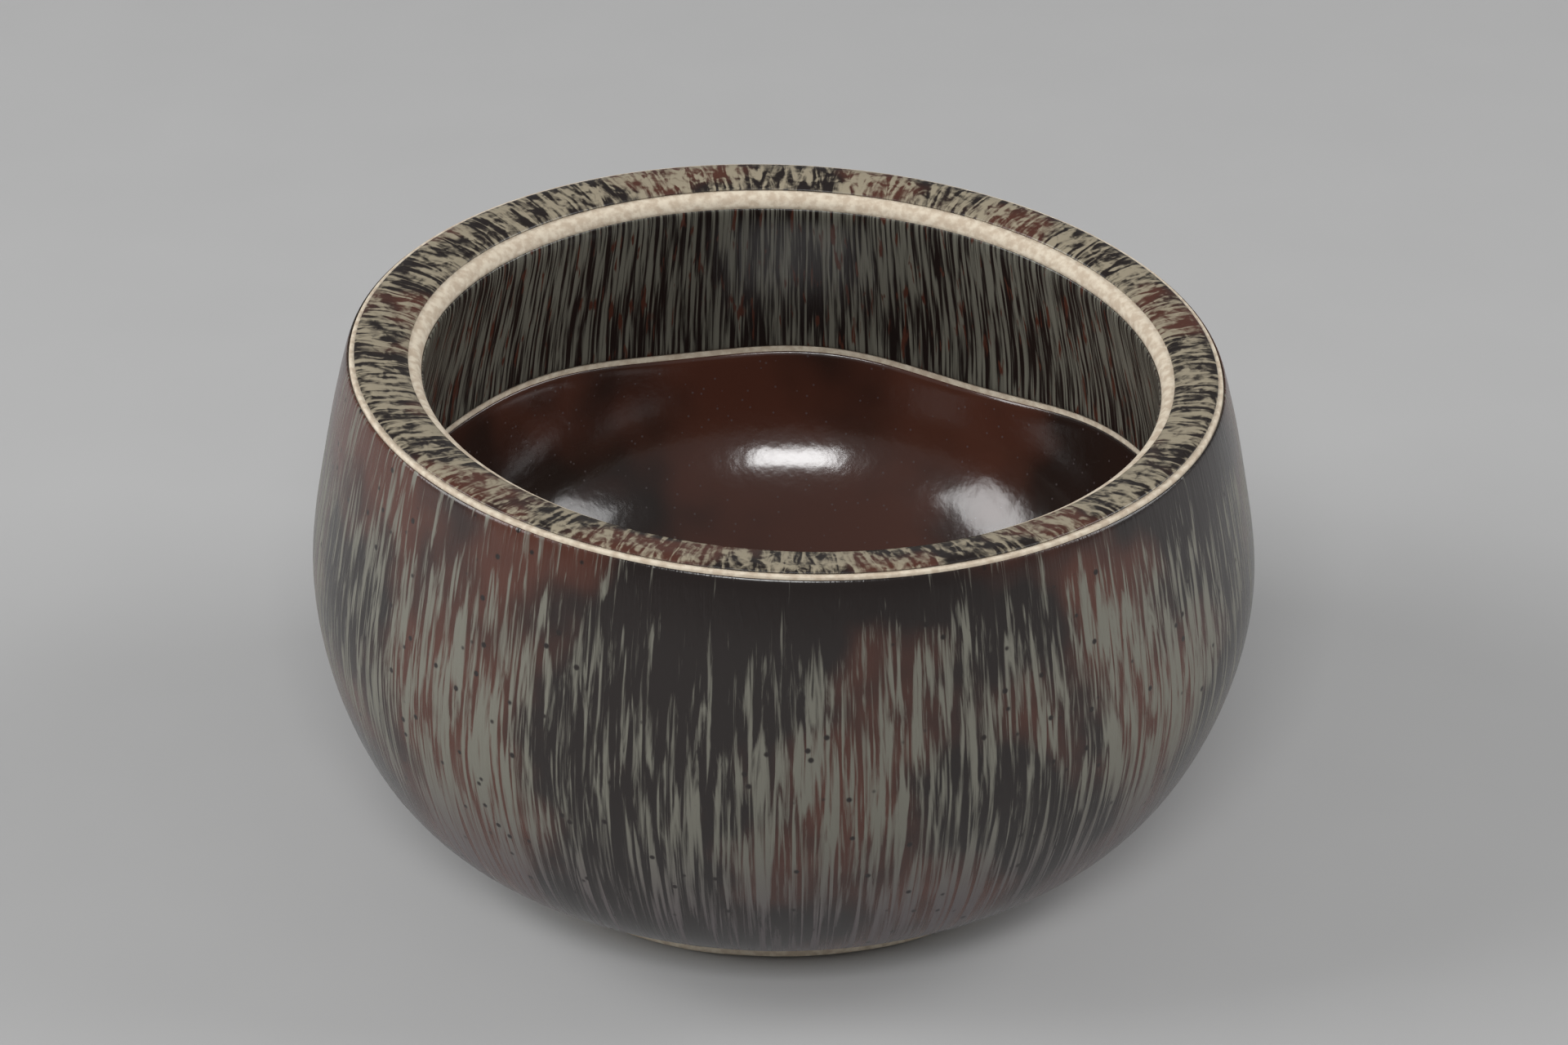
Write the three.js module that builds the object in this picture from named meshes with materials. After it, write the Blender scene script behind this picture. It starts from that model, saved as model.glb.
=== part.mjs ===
// A glazed stoneware tea bowl: one thrown clay body and the four coats of glaze fired on to it.
// Units are millimetres, +Z is up, and the front of the bowl looks along -Y. The foot stands on z = 0.
import * as THREE from "three";

// Driving dimensions
const HEIGHT = 68.3; // glazed height at the middle of the rim
const RIM_RADIUS = 56.25; // outer edge of the rim
const BELLY_RADIUS = 61.5; // widest part of the glazed wall
const BELLY_HEIGHT = 38;
const OPENING_RADIUS = 47.2; // inner edge of the rim
const INNER_RADIUS = 52.3; // widest part of the inside
const INNER_WIDEST_HEIGHT = 42;
const FLOOR_HEIGHT = 10.5; // clay under the middle of the floor
const FOOT_RADIUS = 39.7;
const FOOT_HEIGHT = 5;
const FOOT_RING_WIDTH = 7;
const RECESS_DEPTH = 3; // turned hollow inside the foot ring
const RIM_SLOPE = 0.9; // the inner edge of the rim lies this much lower
const INNER_ARRIS_RADIUS = 1.6;
const RIM_LEAN = THREE.MathUtils.degToRad(2.3); // the +X side of the rim is the low one
const RIM_SHIFT = 0.8; // the rim's centre towards +X
const HOLE_SHIFT = 0.65; // the opening's centre, further towards +X
const WALL_GLAZE = 0.7;
const RIM_GLAZE = 0.6;
const FLOOR_GLAZE = 1.2;
const LOBE_GLAZE = 0.9; // extra thickness where glaze has rolled up over the foot
const FOOT_EDGE_HEIGHT = 2.4; // mean height of the glaze's lower edge
const FOOT_EDGE_WAVE = 0.9;
const INNER_LINE_HEIGHT = 41; // mean height of the line between wall and floor glaze
const INNER_LINE_WAVE = 2.6;
const BARE_LINE = 0.5; // clay left bare at each edge of the rim and at the inner line

const SEGMENTS = 48;
const WALL_RINGS = 18;
const INNER_WALL_RINGS = 10;
const FLOOR_RINGS = 12;
const RIM_RINGS = 5;

// Lobes of glaze over the foot: azimuth from the front in degrees, and half width in degrees.
const LOBES = [
  { azimuth: -17, spread: 6 },
  { azimuth: 26, spread: 6 },
  { azimuth: 57, spread: 16 },
  { azimuth: 140, spread: 9 },
  { azimuth: -118, spread: 12 },
];

const clayWall = (radius) => radius - WALL_GLAZE;

// Outlines of the clay, as smooth curves of (radius, height)
function outerCurve() {
  const foot = clayWall(FOOT_RADIUS);
  const belly = clayWall(BELLY_RADIUS);
  const rim = clayWall(RIM_RADIUS);
  const rise = BELLY_HEIGHT - FOOT_HEIGHT;
  const swell = belly - foot;
  const top = HEIGHT - RIM_GLAZE;
  return new THREE.SplineCurve([
    new THREE.Vector2(foot, 0),
    new THREE.Vector2(foot + 0.03 * swell, FOOT_HEIGHT),
    new THREE.Vector2(foot + 0.55 * swell, FOOT_HEIGHT + 0.2 * rise),
    new THREE.Vector2(foot + 0.86 * swell, FOOT_HEIGHT + 0.54 * rise),
    new THREE.Vector2(belly, BELLY_HEIGHT),
    new THREE.Vector2((belly + rim) / 2 + 0.2, BELLY_HEIGHT + 0.55 * (top - BELLY_HEIGHT)),
    new THREE.Vector2(rim, top),
  ]);
}

function innerCurve() {
  const start = innerArrisEnd();
  const depth = INNER_WIDEST_HEIGHT - FLOOR_HEIGHT;
  return new THREE.SplineCurve([
    start,
    new THREE.Vector2((OPENING_RADIUS + INNER_RADIUS) / 2, (start.y + INNER_WIDEST_HEIGHT) / 2 + 2),
    new THREE.Vector2(INNER_RADIUS, INNER_WIDEST_HEIGHT),
    new THREE.Vector2(0.93 * INNER_RADIUS, FLOOR_HEIGHT + 0.5 * depth),
    new THREE.Vector2(0.66 * INNER_RADIUS, FLOOR_HEIGHT + 0.13 * depth),
    new THREE.Vector2(0.33 * INNER_RADIUS, FLOOR_HEIGHT + 0.02 * depth),
    new THREE.Vector2(0, FLOOR_HEIGHT),
  ]);
}

const rimTop = () => HEIGHT - RIM_GLAZE;
const innerTop = () => rimTop() - RIM_SLOPE;

function innerArrisPoint(turn) {
  const centre = new THREE.Vector2(
    OPENING_RADIUS + INNER_ARRIS_RADIUS,
    innerTop() - INNER_ARRIS_RADIUS,
  );
  return centre.add(
    new THREE.Vector2(-Math.sin(turn), Math.cos(turn)).multiplyScalar(INNER_ARRIS_RADIUS),
  );
}
const innerArrisEnd = () => innerArrisPoint(Math.PI / 2);

// A few slow waves round the bowl; angle is measured from the front.
function wave(angle, phase) {
  return (
    0.5 * Math.sin(3 * angle + phase) +
    0.3 * Math.sin(5 * angle + 2.1 * phase) +
    0.2 * Math.sin(8 * angle + 3.7 * phase)
  );
}

function lobe(angle) {
  const near = ({ azimuth, spread }) => {
    const off = THREE.MathUtils.euclideanModulo(
      angle - THREE.MathUtils.degToRad(azimuth) + Math.PI,
      2 * Math.PI,
    ) - Math.PI;
    return Math.exp(-((off / THREE.MathUtils.degToRad(spread)) ** 2));
  };
  return Math.min(1, LOBES.reduce((sum, one) => sum + near(one), 0));
}

// The place on a curve where it passes a height, searched between two parameters.
function atHeight(curve, height, low, high) {
  const rising = curve.getPoint(high).y > curve.getPoint(low).y;
  for (let i = 0; i < 30; i++) {
    const mid = (low + high) / 2;
    if (curve.getPoint(mid).y < height === rising) low = mid;
    else high = mid;
  }
  return (low + high) / 2;
}

const OUTER = outerCurve();
const INNER = innerCurve();
const footEdge = (angle) =>
  atHeight(OUTER, FOOT_EDGE_HEIGHT + FOOT_EDGE_WAVE * (wave(angle, 1) - lobe(angle)), 0, 0.5);
const innerLine = (angle) =>
  atHeight(INNER, INNER_LINE_HEIGHT + INNER_LINE_WAVE * wave(angle, 2.4), 0, 0.7);
const outerTop = 1 - BARE_LINE / OUTER.getLength();
const innerGap = BARE_LINE / INNER.getLength();

// A ring is a function of the angle that gives (radius, height), with how far inside it counts.
const ring = (place, inside) => ({ place, inside });
const between = (from, to, t) => from + (to - from) * t;

function footRings() {
  const inner = clayWall(FOOT_RADIUS) - FOOT_RING_WIDTH;
  const corners = [
    [0, RECESS_DEPTH],
    [inner / 2, RECESS_DEPTH],
    [inner - 1, RECESS_DEPTH],
    [inner, 0],
  ];
  return corners.map(([r, z]) => ring(() => new THREE.Vector2(r, z), 0));
}

function outerRings() {
  const bare = ring(() => OUTER.getPoint(0), 0);
  const glazed = Array.from({ length: WALL_RINGS + 1 }, (_, k) =>
    ring((angle) => OUTER.getPoint(between(footEdge(angle), outerTop, k / WALL_RINGS)), 0),
  );
  return { bare, glazed, arris: ring(() => OUTER.getPoint(1), 0) };
}

function rimRings() {
  const outer = clayWall(RIM_RADIUS) - BARE_LINE;
  const inner = OPENING_RADIUS + INNER_ARRIS_RADIUS;
  const width = clayWall(RIM_RADIUS) - inner;
  return Array.from({ length: RIM_RINGS + 1 }, (_, k) => {
    const r = between(outer, inner, k / RIM_RINGS);
    const z = rimTop() - (RIM_SLOPE * (clayWall(RIM_RADIUS) - r)) / width;
    return ring(() => new THREE.Vector2(r, z), k / RIM_RINGS);
  });
}

function innerWallRings() {
  return Array.from({ length: INNER_WALL_RINGS + 1 }, (_, k) =>
    ring((angle) => INNER.getPoint(between(innerGap, innerLine(angle), k / INNER_WALL_RINGS)), 1),
  );
}

function floorRings() {
  return Array.from({ length: FLOOR_RINGS + 1 }, (_, k) =>
    ring((angle) => INNER.getPoint(between(innerLine(angle) + innerGap, 1, k / FLOOR_RINGS)), 1),
  );
}

// The potter's unevenness: the rim leans and sits off centre. It grows with height, and the widest
// part of the wall stays centred on the Z axis.
const rise = (z) => THREE.MathUtils.smoothstep(z, FOOT_HEIGHT, HEIGHT);

function settle(r, z, angle, inside) {
  const up = rise(z);
  const x = r * Math.sin(angle);
  const shift = RIM_SHIFT * (up - rise(BELLY_HEIGHT)) + HOLE_SHIFT * inside * up;
  return new THREE.Vector3(
    x + shift,
    -r * Math.cos(angle),
    z - up * Math.tan(RIM_LEAN) * x,
  );
}

const ANGLES = Array.from({ length: SEGMENTS }, (_, j) => (2 * Math.PI * j) / SEGMENTS);

const pointsOf = (rings) =>
  rings.map(({ place, inside }) =>
    ANGLES.map((angle) => ({ ...place(angle), angle, inside })),
  );

// Moves each point of a run of rings out of the clay by the thickness given there.
function raised(run, thickness) {
  return run.map((points, i) =>
    points.map((p, j) => {
      const before = run[Math.max(0, i - 1)][j];
      const after = run[Math.min(run.length - 1, i + 1)][j];
      const along = new THREE.Vector2(after.x - before.x, after.y - before.y).normalize();
      const t = thickness(i / (run.length - 1), p);
      const onAxis = p.x < 1e-6;
      return {
        ...p,
        x: onAxis ? 0 : p.x + along.y * t,
        y: onAxis ? p.y + t : p.y - along.x * t,
      };
    }),
  );
}

// Joins rings into one closed surface. A ring on the axis becomes a single point.
function ringSolid(rows, { loop, inward }) {
  const positions = [];
  const ids = rows.map((row) => {
    const pole = row[0].x < 1e-6;
    const first = positions.length / 3;
    for (const p of pole ? row.slice(0, 1) : row)
      positions.push(...settle(p.x, p.y, p.angle, p.inside).toArray());
    return row.map((_, j) => (pole ? first : first + j));
  });
  const index = [];
  const add = (a, b, c) => {
    if (a === b || b === c || a === c) return;
    index.push(...(inward ? [a, c, b] : [a, b, c]));
  };
  const count = loop ? ids.length : ids.length - 1;
  for (let i = 0; i < count; i++) {
    const low = ids[i];
    const high = ids[(i + 1) % ids.length];
    for (let j = 0; j < SEGMENTS; j++) {
      const next = (j + 1) % SEGMENTS;
      add(low[j], low[next], high[next]);
      add(low[j], high[next], high[j]);
    }
  }
  const geometry = new THREE.BufferGeometry();
  geometry.setAttribute("position", new THREE.Float32BufferAttribute(positions, 3));
  geometry.setIndex(index);
  geometry.computeVertexNormals();
  return geometry;
}

function piece(name, geometry, colour, roughness) {
  const material = new THREE.MeshStandardMaterial({ color: colour, roughness, metalness: 0 });
  const mesh = new THREE.Mesh(geometry, material);
  mesh.name = name;
  return mesh;
}

function glaze(name, run, thickness, colour, roughness) {
  const rows = [...run, ...raised(run, thickness).reverse()];
  return piece(name, ringSolid(rows, { loop: true, inward: true }), colour, roughness);
}

// Thin at both edges of a coat, full in between.
const rounded = (full) => (t) => full * (0.55 + 0.45 * Math.min(1, 8 * t, 8 * (1 - t)));

// The coat is thickest in the rolls over the foot and fades into the even wall above them.
function outerThickness(t, p) {
  const roll = lobe(p.angle) * Math.exp(-((t / 0.12) ** 2));
  return rounded(WALL_GLAZE)(t) + LOBE_GLAZE * roll;
}

const floorThickness = (t) => FLOOR_GLAZE * (0.5 + 0.5 * Math.min(1, 6 * t));

function build() {
  const outer = outerRings();
  const runs = {
    foot: pointsOf([...footRings(), outer.bare]),
    outer: pointsOf(outer.glazed),
    arris: pointsOf([outer.arris]),
    rim: pointsOf(rimRings()),
    turn: pointsOf([Math.PI / 6, Math.PI / 3, Math.PI / 2].map(
      (turn) => ring(() => innerArrisPoint(turn), 1),
    )),
    wall: pointsOf(innerWallRings()),
    floor: pointsOf(floorRings()),
  };
  const group = new THREE.Group();
  group.name = "tea_bowl";
  group.add(
    piece("clay_body", ringSolid(Object.values(runs).flat(), {}), 0xcdbfa8, 0.85),
    glaze("outer_glaze", runs.outer, outerThickness, 0x3b3230, 0.3),
    glaze("rim_glaze", runs.rim, rounded(RIM_GLAZE), 0x6a6252, 0.35),
    glaze("inner_wall_glaze", runs.wall, rounded(WALL_GLAZE), 0x5b5a4c, 0.3),
    glaze("floor_glaze", runs.floor, floorThickness, 0x1d1714, 0.15),
  );
  return group;
}

export default build();
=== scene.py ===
# A glazed stoneware tea bowl on a pale studio sweep, in metres, in the CAD frame.
import math

import bmesh
import bpy
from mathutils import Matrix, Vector


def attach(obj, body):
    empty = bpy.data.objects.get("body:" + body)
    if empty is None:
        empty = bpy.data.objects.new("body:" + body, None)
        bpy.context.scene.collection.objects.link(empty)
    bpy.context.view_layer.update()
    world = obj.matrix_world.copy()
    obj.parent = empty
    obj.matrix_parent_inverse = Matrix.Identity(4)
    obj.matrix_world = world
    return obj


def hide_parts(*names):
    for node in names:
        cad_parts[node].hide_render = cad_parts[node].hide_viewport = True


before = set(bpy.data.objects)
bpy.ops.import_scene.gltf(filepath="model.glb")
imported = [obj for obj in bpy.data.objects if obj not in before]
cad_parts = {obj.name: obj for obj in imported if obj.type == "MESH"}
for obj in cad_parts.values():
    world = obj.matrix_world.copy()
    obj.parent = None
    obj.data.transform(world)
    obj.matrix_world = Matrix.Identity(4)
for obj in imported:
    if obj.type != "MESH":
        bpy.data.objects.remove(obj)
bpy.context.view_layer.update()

LENS = 100.0  # mm, on a sensor 36 mm wide
CAMERA_DISTANCE = 0.567
CAMERA_PITCH = math.radians(30.25)
TARGET_HEIGHT = 0.04262

WELD_DISTANCE = 1e-6
FLAT_ENOUGH = math.radians(40)  # triangles within this angle are joined into one face
ROUNDING_LEVELS = 2
BUMP_DISTANCE = 0.0003
COAT_ROUGHNESS = 0.12
UNDER_RIM = (0.054, 0.066)  # heights over which the streaks thin out towards the rim
LOW_WALL_REFLECTION = (0.016, 0.036)  # heights over which the purple-grey painted reflection gives way to grey-green
RIM_EDGE = (0.0535, 0.0560)  # radii over which the rim darkens towards its outer edge
WORLD_STRENGTH = 0.45

CLAY_LIGHT = (0.66, 0.58, 0.46, 1)
CLAY_DARK = (0.50, 0.41, 0.31, 1)
NEAR_BLACK = (0.012, 0.008, 0.007, 1)
RED_BROWN = (0.070, 0.024, 0.015, 1)
GREY_GREEN = (0.150, 0.145, 0.118, 1)
# purple-grey: a painted reflection on the low outer wall, and the real pale specks in the floor glaze
PAINTED_REFLECTION_AND_SPECK_GREY = (0.105, 0.088, 0.090, 1)
BEIGE = (0.290, 0.250, 0.180, 1)
FLOOR_BROWN = (0.016, 0.009, 0.007, 1)


class Shader:
    """A material's node tree with short calls for the nodes that the glazes share."""

    def __init__(self, name):
        self.material = bpy.data.materials.new(name)
        self.material.use_nodes = True
        self.tree = self.material.node_tree
        self.surface = self.tree.nodes["Principled BSDF"]

    def node(self, kind, **settings):
        made = self.tree.nodes.new(kind)
        for key, value in settings.items():
            setattr(made, key, value)
        return made

    def put(self, value, socket):
        if isinstance(value, bpy.types.NodeSocket):
            self.tree.links.new(value, socket)
        else:
            socket.default_value = value

    def math(self, operation, *values):
        made = self.node("ShaderNodeMath", operation=operation)
        for value, socket in zip(values, made.inputs):
            self.put(value, socket)
        return made.outputs[0]

    def mix(self, amount, a, b):
        made = self.node("ShaderNodeMix", data_type="RGBA")
        self.put(amount, made.inputs["Factor"])
        self.put(a, made.inputs["A"])
        self.put(b, made.inputs["B"])
        return made.outputs["Result"]

    def span(self, value, low, high):
        made = self.node("ShaderNodeMapRange", interpolation_type="SMOOTHSTEP")
        self.put(value, made.inputs["Value"])
        made.inputs["From Min"].default_value = low
        made.inputs["From Max"].default_value = high
        return made.outputs["Result"]

    def noise(self, vector, scale, detail=4.0, distortion=0.0):
        made = self.node("ShaderNodeTexNoise")
        self.put(vector, made.inputs["Vector"])
        made.inputs["Scale"].default_value = scale
        made.inputs["Detail"].default_value = detail
        made.inputs["Distortion"].default_value = distortion
        return made.outputs["Fac"]

    def spots(self, vector, scale, size):
        """1 inside small round spots, one to a cell, and 0 between them."""
        made = self.node("ShaderNodeTexVoronoi")
        self.put(vector, made.inputs["Vector"])
        made.inputs["Scale"].default_value = scale
        outside = self.span(made.outputs["Distance"], 0.5 * size, size)
        return self.math("SUBTRACT", 1.0, outside)

    def place(self):
        """The point in the row frame, its three coordinates and its distance from the axis."""
        point = self.node("ShaderNodeTexCoord").outputs["Object"]
        parts = self.node("ShaderNodeSeparateXYZ")
        self.put(point, parts.inputs[0])
        x, y, z = parts.outputs
        squares = [self.math("MULTIPLY", axis, axis) for axis in (x, y)]
        radius = self.math("SQRT", self.math("ADD", *squares))
        return point, x, y, z, radius

    def running(self, round_scale, down_scale):
        """A vector that is fine round the bowl and slow down its wall, so that noise on it runs."""
        _, x, y, z, radius = self.place()
        made = self.node("ShaderNodeCombineXYZ")
        reach = self.math("MAXIMUM", radius, 0.001)
        down = self.math("SUBTRACT", z, radius)
        for axis, socket in zip((x, y), made.inputs):
            self.put(self.math("MULTIPLY", self.math("DIVIDE", axis, reach), round_scale), socket)
        self.put(self.math("MULTIPLY", down, down_scale), made.inputs[2])
        return made.outputs[0]

    def finish(self, colour, roughness, height, strength, coat=0.0):
        bump = self.node("ShaderNodeBump")
        bump.inputs["Distance"].default_value = BUMP_DISTANCE
        bump.inputs["Strength"].default_value = strength
        self.put(height, bump.inputs["Height"])
        self.put(colour, self.surface.inputs["Base Color"])
        self.put(roughness, self.surface.inputs["Roughness"])
        self.surface.inputs["Coat Weight"].default_value = coat
        self.surface.inputs["Coat Roughness"].default_value = COAT_ROUGHNESS
        self.put(bump.outputs[0], self.surface.inputs["Normal"])
        return self.material


def bare_clay():
    s = Shader("bare_clay")
    point, *_ = s.place()
    grain = s.noise(point, 900, 6)
    colour = s.mix(s.span(grain, 0.35, 0.65), CLAY_DARK, CLAY_LIGHT)
    return s.finish(colour, 0.85, grain, 0.5)


def outer_glaze():
    """Streaks of grey-green running down over a dark ground, sparse under the rim, tinted purple-grey
    low on the wall as a painted reflection of the pale floor.
    """
    s = Shader("outer_glaze")
    point, _, _, z, _ = s.place()
    streak = s.noise(s.running(62, 70), 1.0, 5, 0.9)
    hairs = s.noise(s.running(150, 110), 1.0, 3, 0.5)
    cloud = s.noise(point, 38, 3)
    body = s.math("ADD", s.math("MULTIPLY", streak, 0.7), s.math("MULTIPLY", hairs, 0.3))
    under_rim = s.math("MULTIPLY", s.span(z, *UNDER_RIM), 0.10)
    drift = s.math("MULTIPLY", s.math("SUBTRACT", cloud, 0.5), 0.35)
    laid = s.math("SUBTRACT", s.math("ADD", body, drift), under_rim)
    ground = s.mix(s.span(cloud, 0.48, 0.66), NEAR_BLACK, RED_BROWN)
    # low on the wall the streaks are painted purple-grey as a painted reflection of the floor; higher
    # up they are their own grey-green
    pale = s.mix(s.span(z, *LOW_WALL_REFLECTION), PAINTED_REFLECTION_AND_SPECK_GREY, GREY_GREEN)
    colour = s.mix(s.span(laid, 0.46, 0.60), ground, pale)
    colour = s.mix(s.spots(point, 330, 0.16), colour, NEAR_BLACK)
    roughness = s.math("ADD", 0.20, s.math("MULTIPLY", s.span(laid, 0.44, 0.60), 0.20))
    return s.finish(colour, roughness, body, 0.35)


def rim_glaze():
    """Beige lace over dark brown blotches, drawn out along the radius, with a few red-brown spots."""
    s = Shader("rim_glaze")
    point, _, _, _, radius = s.place()
    lace = s.noise(s.running(34, 170), 1.0, 7, 1.4)
    fine = s.noise(point, 620, 5, 1.0)
    body = s.math("ADD", s.math("MULTIPLY", lace, 0.65), s.math("MULTIPLY", fine, 0.35))
    edge = s.math("MULTIPLY", s.span(radius, *RIM_EDGE), 0.05)
    ground = s.mix(s.span(s.noise(point, 70, 2), 0.50, 0.62), NEAR_BLACK, RED_BROWN)
    colour = s.mix(s.span(s.math("SUBTRACT", body, edge), 0.44, 0.58), ground, BEIGE)
    colour = s.mix(s.spots(point, 90, 0.10), colour, RED_BROWN)
    return s.finish(colour, 0.32, body, 0.4)


def inner_wall_glaze():
    """Fine grey-green streaks over a dark ground, with short red-brown strokes."""
    s = Shader("inner_wall_glaze")
    point, *_ = s.place()
    streak = s.noise(s.running(105, 60), 1.0, 4, 0.4)
    strokes = s.noise(s.running(60, 160), 1.0, 2, 0.3)
    colour = s.mix(s.span(streak, 0.42, 0.60), NEAR_BLACK, GREY_GREEN)
    colour = s.mix(s.span(strokes, 0.60, 0.68), colour, RED_BROWN)
    return s.finish(colour, 0.28, streak, 0.3)


def floor_glaze():
    """A glossy dark brown pool with a red tint in places and fine pale specks."""
    s = Shader("floor_glaze")
    point, *_ = s.place()
    cloud = s.noise(point, 30, 3)
    speck = s.spots(point, 700, 0.14)
    colour = s.mix(s.span(cloud, 0.46, 0.66), FLOOR_BROWN, RED_BROWN)
    colour = s.mix(s.math("MULTIPLY", speck, 0.5), colour, PAINTED_REFLECTION_AND_SPECK_GREY)
    ripple = s.noise(point, 420, 3)
    return s.finish(colour, 0.17, ripple, 0.22, coat=0.4)


MATERIALS = {
    "clay_body": bare_clay,
    "outer_glaze": outer_glaze,
    "rim_glaze": rim_glaze,
    "inner_wall_glaze": inner_wall_glaze,
    "floor_glaze": floor_glaze,
}


def smooth_piece(name, material):
    """A rounded copy of a CAD node that stands for it."""
    mesh = bpy.data.meshes.new(name + "_visual")
    bm = bmesh.new()
    bm.from_mesh(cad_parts[name].data)
    bmesh.ops.remove_doubles(bm, verts=bm.verts, dist=WELD_DISTANCE)
    bmesh.ops.join_triangles(
        bm,
        faces=bm.faces,
        angle_face_threshold=FLAT_ENOUGH,
        angle_shape_threshold=FLAT_ENOUGH,
    )
    for face in bm.faces:
        face.smooth = True
    bm.to_mesh(mesh)
    bm.free()
    mesh.materials.append(material)
    piece = bpy.data.objects.new(name + "_visual", mesh)
    bpy.context.scene.collection.objects.link(piece)
    rounding = piece.modifiers.new("rounding", "SUBSURF")
    rounding.levels = ROUNDING_LEVELS
    rounding.render_levels = ROUNDING_LEVELS
    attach(piece, "root")
    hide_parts(name)
    return piece


def add_pieces():
    for name, paint in MATERIALS.items():
        smooth_piece(name, paint())


def add_floor():
    """A pale sweep: flat under the bowl, turning up far behind it."""
    across, front, bend, rise = 3.0, -2.0, 1.2, 1.0
    outline = [(front, 0.0), (bend, 0.0)]
    outline += [
        (bend + rise * math.sin(t), rise * (1 - math.cos(t)))
        for t in (math.pi / 2 * step / 12 for step in range(1, 13))
    ]
    outline.append((bend + rise, 3.0))
    mesh = bpy.data.meshes.new("sweep")
    verts = [(side * across, y, z) for y, z in outline for side in (-1, 1)]
    faces = [(2 * i, 2 * i + 1, 2 * i + 3, 2 * i + 2) for i in range(len(outline) - 1)]
    mesh.from_pydata(verts, [], faces)
    for polygon in mesh.polygons:
        polygon.use_smooth = True
    s = Shader("sweep")
    point, *_ = s.place()
    grey = s.mix(s.noise(point, 40, 2), (0.40, 0.40, 0.40, 1), (0.42, 0.42, 0.42, 1))
    s.put(grey, s.surface.inputs["Base Color"])
    s.surface.inputs["Roughness"].default_value = 0.7
    mesh.materials.append(s.material)
    floor = bpy.data.objects.new("sweep", mesh)
    bpy.context.scene.collection.objects.link(floor)


def aim(thing, target):
    thing.rotation_euler = (Vector(target) - thing.location).to_track_quat("-Z", "Y").to_euler()


def add_light(name, place, width, height, watts):
    light = bpy.data.lights.new(name, "AREA")
    light.shape = "RECTANGLE"
    light.size, light.size_y, light.energy = width, height, watts
    lamp = bpy.data.objects.new(name, light)
    lamp.location = place
    bpy.context.scene.collection.objects.link(lamp)
    aim(lamp, (0, 0, TARGET_HEIGHT))


def add_lights():
    add_light("front_softbox", (-0.05, -1.0, 0.95), 0.55, 0.30, 9)
    add_light("left_panel", (-1.2, -0.1, 0.75), 0.7, 1.0, 15)
    add_light("right_panel", (1.2, 0.1, 0.75), 0.7, 1.0, 11)
    world = bpy.data.worlds.new("studio")
    world.use_nodes = True
    background = world.node_tree.nodes["Background"]
    background.inputs["Color"].default_value = (0.5, 0.5, 0.5, 1)
    background.inputs["Strength"].default_value = WORLD_STRENGTH
    bpy.context.scene.world = world


def add_camera():
    camera = bpy.data.cameras.new("camera")
    camera.lens, camera.sensor_width = LENS, 36.0
    camera.clip_start = 0.01
    seat = bpy.data.objects.new("camera", camera)
    back = Vector((0, -math.cos(CAMERA_PITCH), math.sin(CAMERA_PITCH)))
    seat.location = Vector((0, 0, TARGET_HEIGHT)) + CAMERA_DISTANCE * back
    bpy.context.scene.collection.objects.link(seat)
    aim(seat, (0, 0, TARGET_HEIGHT))
    bpy.context.scene.camera = seat


add_pieces()
add_floor()
add_lights()
add_camera()
bpy.context.scene.view_settings.view_transform = "Standard"
